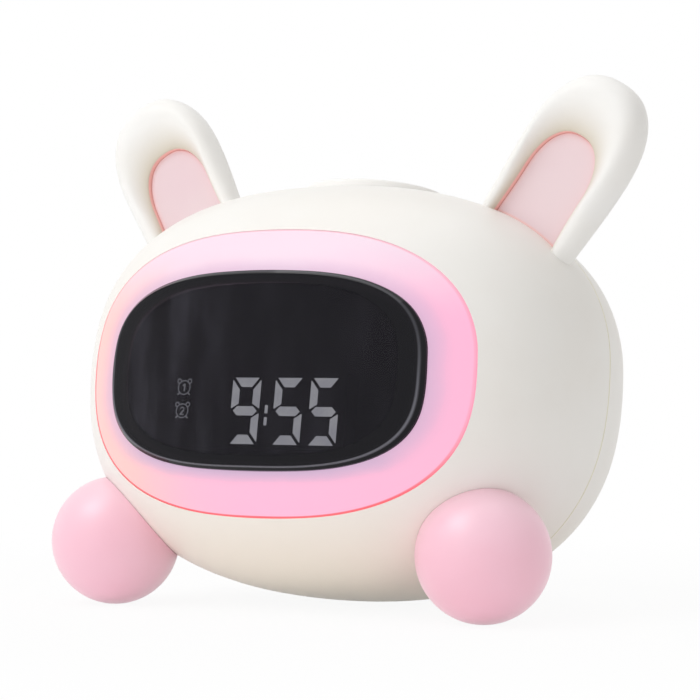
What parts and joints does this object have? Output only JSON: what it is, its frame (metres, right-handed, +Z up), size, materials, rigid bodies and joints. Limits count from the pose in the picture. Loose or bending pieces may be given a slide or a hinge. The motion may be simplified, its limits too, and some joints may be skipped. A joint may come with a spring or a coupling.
{
  "type": "kids alarm clock with night light",
  "caption": "Bunny-shaped digital alarm clock: rounded body leaning back on ball feet, glowing ring round a dark domed lens, two ears, round top button and keys on the back.",
  "frame": {"origin": "on the floor, under the middle of the clock's bounding box", "axes": "+X across to the reader's right, -Y out of the clock's face, +Z up"},
  "size_m": [0.1874, 0.1281, 0.1624],
  "materials": {
    "shell_ivory": "satin",
    "ear_pink": "satin",
    "ball_pink": "satin",
    "ring_diffuser": "translucent, lit from behind",
    "lens_smoke": "smoked, glossy",
    "inner_black": "matt",
    "figure_light": "lit",
    "icon_grey": "lit, dim",
    "circuit_board": "solder mask",
    "led_white": "satin",
    "chip_black": "matt",
    "inner_white": "matt",
    "cell_wrap": "shrink wrap",
    "cable_white": "matt",
    "screw_steel": "zinc plated",
    "socket_steel": "bright",
    "speaker_black": "matt",
    "magnet_steel": "plated",
    "gasket_foam": "foam",
    "foot_rubber": "matt",
    "key_pink": "satin"
  },
  "bodies": {
    "clock": {"alarm_icons": "icon_grey", "battery_cell": "cell_wrap", "battery_holder": "inner_white", "board_screws": "screw_steel", "button_board": "circuit_board", "button_guide": "inner_white", "button_switch": "chip_black", "carrier_screws": "screw_steel", "case_screws": "screw_steel", "colon_dashes": "figure_light", "digit_segments": "figure_light", "display_cable": "cable_white", "display_carrier": "inner_black", "display_lens": "lens_smoke", "display_module": "inner_black", "foot_screws": "screw_steel", "front_shell": "shell_ivory", "inner_frame": "inner_white", "key_board": "circuit_board", "key_switches": "chip_black", "left_ball_foot": "ball_pink", "left_ear_panel": "ear_pink", "left_ear_shell": "shell_ivory", "left_rear_foot": "foot_rubber", "light_board": "circuit_board", "light_cable": "cable_white", "light_ring": "ring_diffuser", "main_board": "circuit_board", "main_chips": "chip_black", "rear_shell": "shell_ivory", "right_ball_foot": "ball_pink", "right_ear_panel": "ear_pink", "right_ear_shell": "shell_ivory", "right_rear_foot": "foot_rubber", "ring_leds": "led_white", "speaker_cone": "speaker_black", "speaker_frame": "speaker_black", "speaker_gasket": "gasket_foam", "speaker_magnet": "magnet_steel", "usb_board": "circuit_board", "usb_socket": "socket_steel"},
    "top_button": {"top_button": "shell_ivory"},
    "key_set": {"key_set": "key_pink"},
    "key_minus": {"key_minus": "key_pink"},
    "key_plus": {"key_plus": "key_pink"},
    "key_alarm": {"key_alarm": "key_pink"},
    "key_light": {"key_light": "key_pink"}
  },
  "joints": [
    {"name": "top_button_press", "type": "slide", "parent": "clock", "child": "top_button", "axis": [0, -0.1685, -0.9857], "range_m": [0, 0.0012], "stiffness_N_per_m": 600, "springref_m": -0.001},
    {"name": "key_set_press", "type": "slide", "parent": "clock", "child": "key_set", "axis": [0, -0.9857, 0.1685], "range_m": [0, 0.0006], "stiffness_N_per_m": 700, "springref_m": -0.0005},
    {"name": "key_minus_press", "type": "slide", "parent": "clock", "child": "key_minus", "axis": [0, -0.9857, 0.1685], "range_m": [0, 0.0006], "stiffness_N_per_m": 700, "springref_m": -0.0005},
    {"name": "key_plus_press", "type": "slide", "parent": "clock", "child": "key_plus", "axis": [0, -0.9857, 0.1685], "range_m": [0, 0.0006], "stiffness_N_per_m": 700, "springref_m": -0.0005},
    {"name": "key_alarm_press", "type": "slide", "parent": "clock", "child": "key_alarm", "axis": [0, -0.9857, 0.1685], "range_m": [0, 0.0006], "stiffness_N_per_m": 700, "springref_m": -0.0005},
    {"name": "key_light_press", "type": "slide", "parent": "clock", "child": "key_light", "axis": [0, -0.9857, 0.1685], "range_m": [0, 0.0006], "stiffness_N_per_m": 700, "springref_m": -0.0005}
  ]
}
